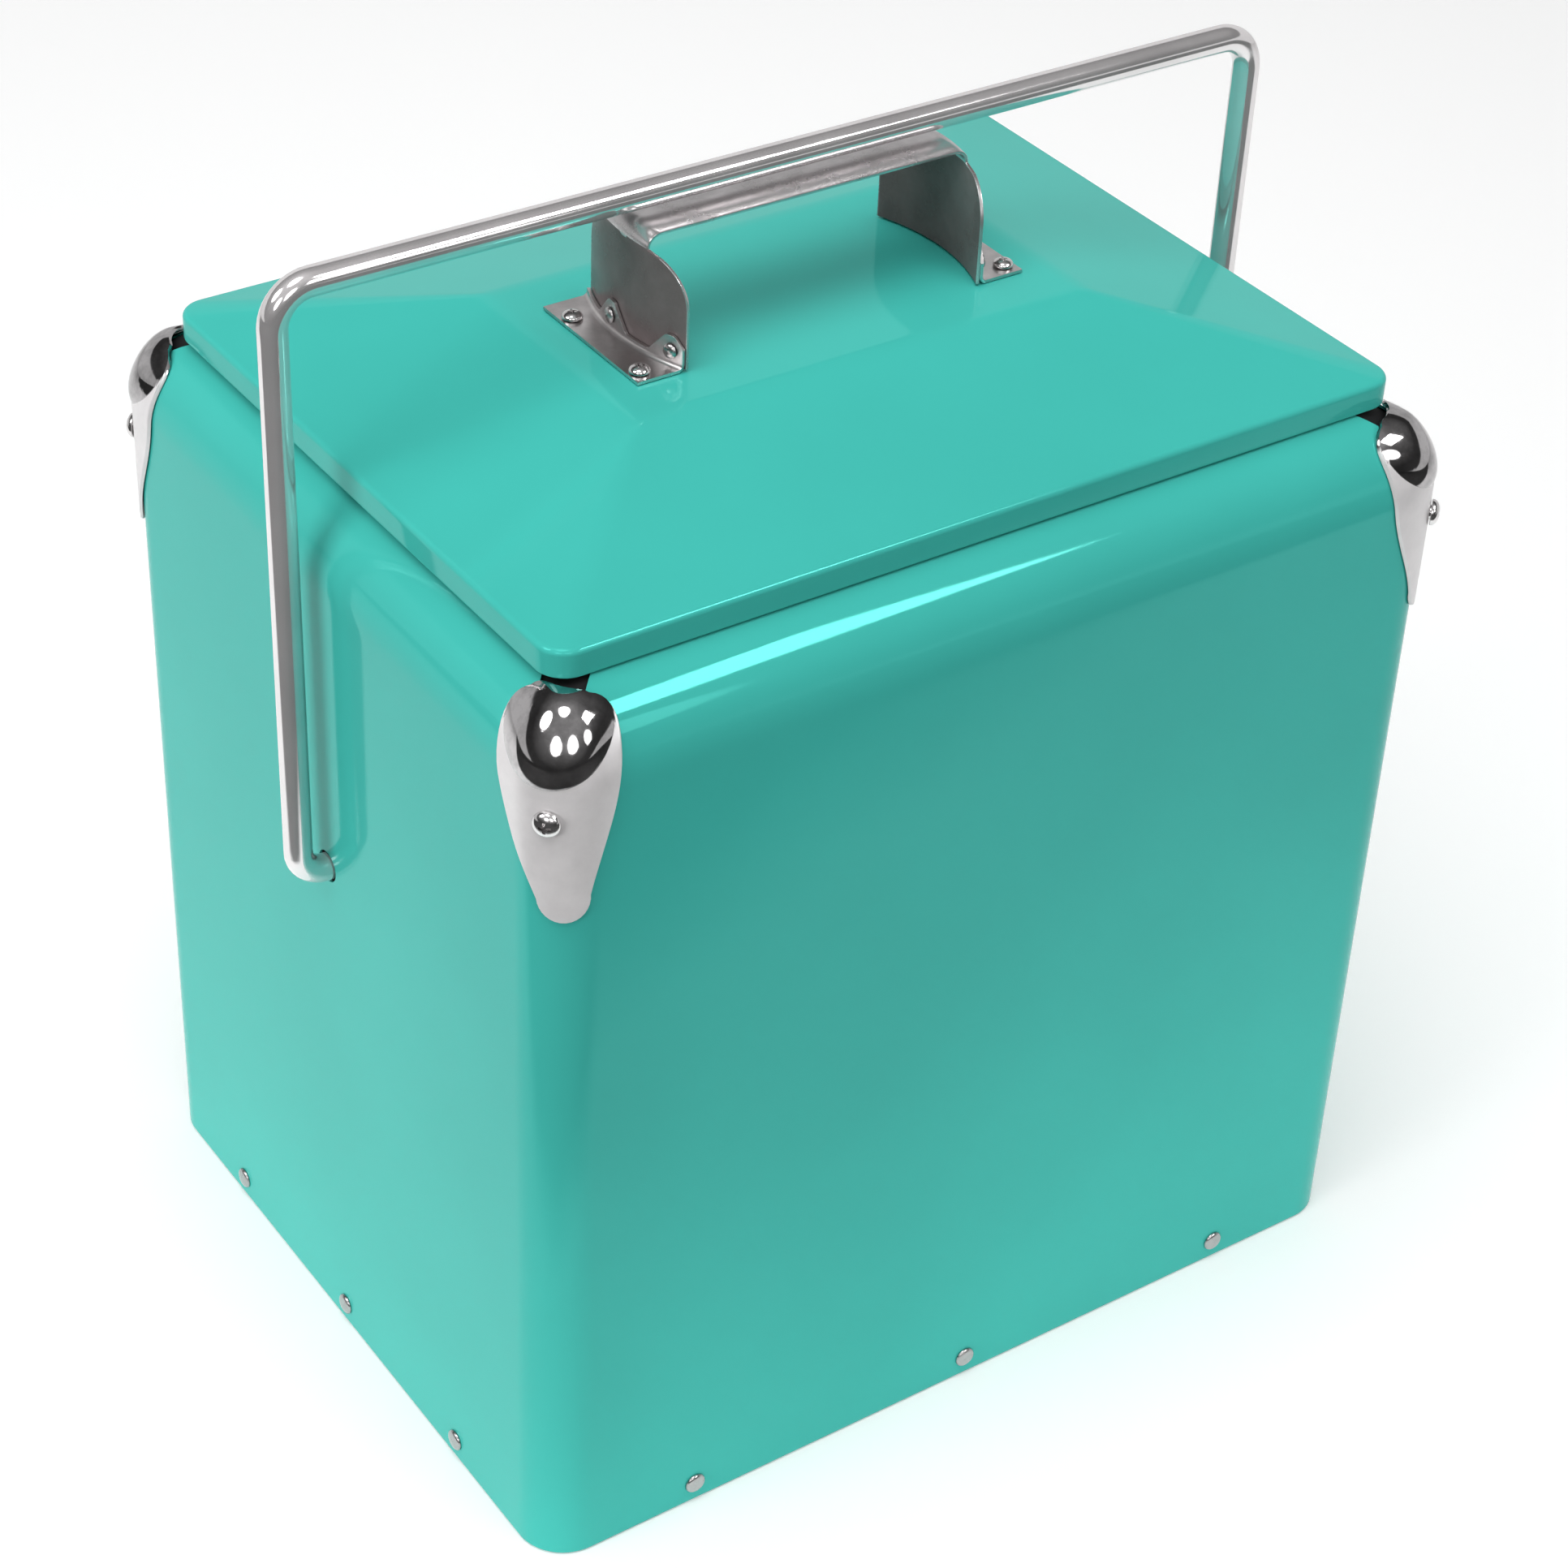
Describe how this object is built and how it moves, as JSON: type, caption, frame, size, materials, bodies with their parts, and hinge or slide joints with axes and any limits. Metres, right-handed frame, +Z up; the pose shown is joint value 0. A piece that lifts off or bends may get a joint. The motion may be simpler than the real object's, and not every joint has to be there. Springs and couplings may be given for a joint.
{
  "type": "picnic cooler chest",
  "caption": "Insulated steel picnic cooler with a lift-off hip-roof lid, plated corner caps, a strap handle on the lid and a bail handle that swings on the short ends.",
  "frame": {"origin": "centre of the flat underside of the base", "axes": "+Z up; +X along the long side, towards the right-hand short end; -Y is the long face seen at the front"},
  "size_m": [0.3518, 0.2594, 0.3919],
  "materials": {
    "teal_paint": "glossy baked enamel on sheet steel",
    "cap_plate": "bright plated stamping, satin below the dome",
    "rod_plate": "bright plated rod",
    "strap_plate": "bright plated strip",
    "foot_nickel": "soft nickel plate",
    "screw_plate": "plated screw",
    "rivet_nickel": "dull nickel rivet",
    "galvanised_steel": "zinc-coated sheet",
    "black_plastic": "moulded, fine grain",
    "gasket_rubber": "soft seating ring",
    "liner_plastic": "smooth moulded tub",
    "insulation_foam": "foamed in place"
  },
  "bodies": {
    "cooler_body": {"outer_shell": "teal_paint", "bottom_pan": "galvanised_steel", "body_insulation": "insulation_foam", "liner_tub": "liner_plastic", "rim_collar": "black_plastic", "corner_cap_front_left": "cap_plate", "cap_screw_front_left": "screw_plate", "corner_cap_front_right": "cap_plate", "cap_screw_front_right": "screw_plate", "corner_cap_back_left": "cap_plate", "cap_screw_back_left": "screw_plate", "corner_cap_back_right": "cap_plate", "cap_screw_back_right": "screw_plate", "base_rivet_front_1": "rivet_nickel", "base_rivet_front_2": "rivet_nickel", "base_rivet_front_3": "rivet_nickel", "base_rivet_back_1": "rivet_nickel", "base_rivet_back_2": "rivet_nickel", "base_rivet_back_3": "rivet_nickel", "base_rivet_left_1": "rivet_nickel", "base_rivet_left_2": "rivet_nickel", "base_rivet_left_3": "rivet_nickel", "base_rivet_right_1": "rivet_nickel", "base_rivet_right_2": "rivet_nickel", "base_rivet_right_3": "rivet_nickel", "pivot_sleeve_left": "black_plastic", "pivot_sleeve_right": "black_plastic"},
    "bail": {"bail_handle": "rod_plate", "bail_retainer_left": "galvanised_steel", "bail_retainer_right": "galvanised_steel"},
    "lid": {"lid_shell": "teal_paint", "lid_insulation": "insulation_foam", "lid_pan": "liner_plastic", "lid_gasket": "gasket_rubber", "strap_handle": "strap_plate", "handle_foot_left": "foot_nickel", "handle_foot_right": "foot_nickel", "foot_screw_left_front": "screw_plate", "foot_screw_left_back": "screw_plate", "foot_screw_right_front": "screw_plate", "foot_screw_right_back": "screw_plate", "strap_rivet_left_front": "rivet_nickel", "strap_rivet_left_back": "rivet_nickel", "strap_rivet_right_front": "rivet_nickel", "strap_rivet_right_back": "rivet_nickel"}
  },
  "joints": [
    {"name": "bail_swing", "type": "hinge", "parent": "cooler_body", "child": "bail", "pos_m": [0, 0, 0.19], "axis": [-1, 0, 0], "range_deg": [0, 105]},
    {"name": "lid_lift", "type": "slide", "parent": "cooler_body", "child": "lid", "axis": [0, 0, 1], "range_m": [0, 0.046]}
  ],
  "couplings": [
    {"joint": "lid_lift", "follows": "bail_swing", "m_per_rad": 0.025}
  ]
}
